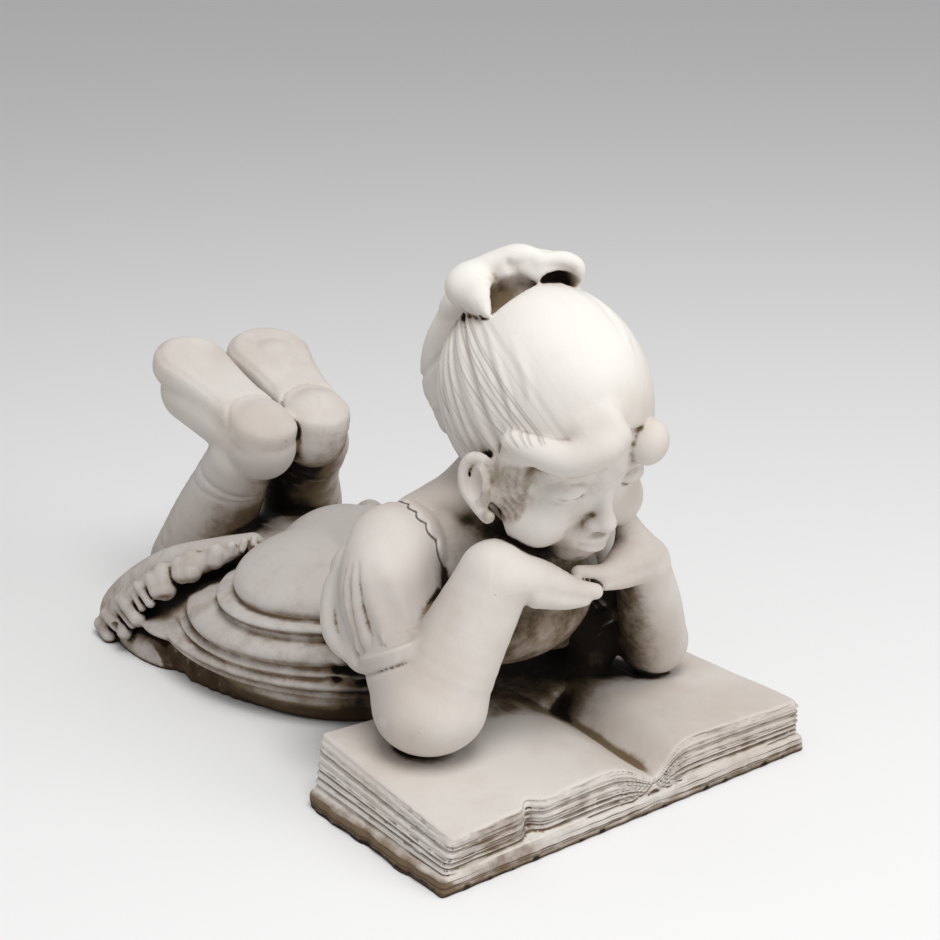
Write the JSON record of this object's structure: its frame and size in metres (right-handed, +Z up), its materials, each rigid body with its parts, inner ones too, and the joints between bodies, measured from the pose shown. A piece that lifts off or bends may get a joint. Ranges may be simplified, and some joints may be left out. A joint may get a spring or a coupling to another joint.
{
  "type": "garden statue",
  "caption": "Cast stone garden figure of a girl with a bow in her hair, lying on her front, chin in her hands and elbows on a large open book.",
  "frame": {"origin": "the middle of the footprint of the whole piece, on the ground", "axes": "+X towards the girl's left, -Y the way she faces with the book in front of her, +Z up"},
  "size_m": [0.2598, 0.4128, 0.2925],
  "materials": {
    "cast_stone": "matt cast stone with a brown wash left in the hollows"
  },
  "bodies": {
    "root": {"reading_girl": "cast_stone"}
  },
  "joints": []
}
